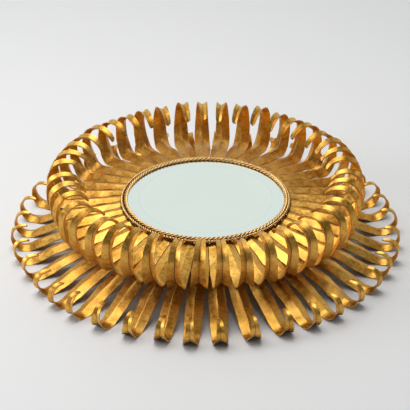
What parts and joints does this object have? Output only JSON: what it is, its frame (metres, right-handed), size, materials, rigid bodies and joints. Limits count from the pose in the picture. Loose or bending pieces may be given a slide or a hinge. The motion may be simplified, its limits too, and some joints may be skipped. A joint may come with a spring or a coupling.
{
  "type": "sunburst mirror",
  "caption": "Round bevelled wall mirror in a gilt iron sunburst frame, with two tiers of creased rays curled like eyelashes, rope trim and a swinging hanging ring.",
  "frame": {"origin": "centre of the plane that the lower curls touch, which is the wall behind the mirror or the table under it", "axes": "+Z out of the mirror's face, +Y up when it hangs, +X to the viewer's right"},
  "size_m": [0.6638, 0.6641, 0.1434],
  "materials": {
    "gilt_upper_ray": "aged gold leaf over iron sheet",
    "gilt_lower_ray": "aged gold leaf over iron sheet",
    "gilt_rope": "aged gold leaf over twisted iron wire",
    "gilt_bezel": "aged gold leaf over iron sheet",
    "gilt_band": "dull gilt over rolled iron sheet",
    "bronzed_bar": "dark bronzed iron bar",
    "brass_hanger": "dull brass",
    "steel_tabs": "dull cut steel sheet",
    "mirror_plate": "silvered plate glass with a ground bevel",
    "card": "grey-brown card",
    "hardboard": "hardboard, rough side out"
  },
  "bodies": {
    "frame": {"backing_board": "hardboard", "bezel_ring": "gilt_bezel", "card_packing": "card", "hanger_bar": "bronzed_bar", "hoop_posts": "bronzed_bar", "inner_rope": "gilt_rope", "lower_hoop": "bronzed_bar", "lower_rays_01": "gilt_lower_ray", "lower_rays_02": "gilt_lower_ray", "lower_rays_03": "gilt_lower_ray", "lower_rays_04": "gilt_lower_ray", "lower_rays_05": "gilt_lower_ray", "lower_rays_06": "gilt_lower_ray", "lower_rays_07": "gilt_lower_ray", "lower_rays_08": "gilt_lower_ray", "lower_rays_09": "gilt_lower_ray", "lower_rays_10": "gilt_lower_ray", "lower_rays_11": "gilt_lower_ray", "lower_rays_12": "gilt_lower_ray", "lower_rays_13": "gilt_lower_ray", "lower_rays_14": "gilt_lower_ray", "lower_rays_15": "gilt_lower_ray", "lower_rays_16": "gilt_lower_ray", "lower_rays_17": "gilt_lower_ray", "lower_rays_18": "gilt_lower_ray", "lower_rays_19": "gilt_lower_ray", "lower_rays_20": "gilt_lower_ray", "mirror_band": "gilt_band", "mirror_glass": "mirror_plate", "outer_rope": "gilt_rope", "retaining_clips": "steel_tabs", "ring_strap": "brass_hanger", "strap_rivets": "brass_hanger", "upper_hoop": "bronzed_bar", "upper_rays_01": "gilt_upper_ray", "upper_rays_02": "gilt_upper_ray", "upper_rays_03": "gilt_upper_ray", "upper_rays_04": "gilt_upper_ray", "upper_rays_05": "gilt_upper_ray", "upper_rays_06": "gilt_upper_ray", "upper_rays_07": "gilt_upper_ray", "upper_rays_08": "gilt_upper_ray", "upper_rays_09": "gilt_upper_ray", "upper_rays_10": "gilt_upper_ray", "upper_rays_11": "gilt_upper_ray", "upper_rays_12": "gilt_upper_ray", "upper_rays_13": "gilt_upper_ray", "upper_rays_14": "gilt_upper_ray", "upper_rays_15": "gilt_upper_ray", "upper_rays_16": "gilt_upper_ray", "upper_rays_17": "gilt_upper_ray", "upper_rays_18": "gilt_upper_ray", "upper_rays_19": "gilt_upper_ray", "upper_rays_20": "gilt_upper_ray", "upper_rays_21": "gilt_upper_ray", "upper_rays_22": "gilt_upper_ray"},
    "ring": {"hanging_ring": "brass_hanger"}
  },
  "joints": [
    {"name": "ring_swing", "type": "hinge", "parent": "frame", "child": "ring", "pos_m": [0, 0.116, 0.02754], "axis": [1, 0, 0], "range_deg": [-85, 90]}
  ]
}
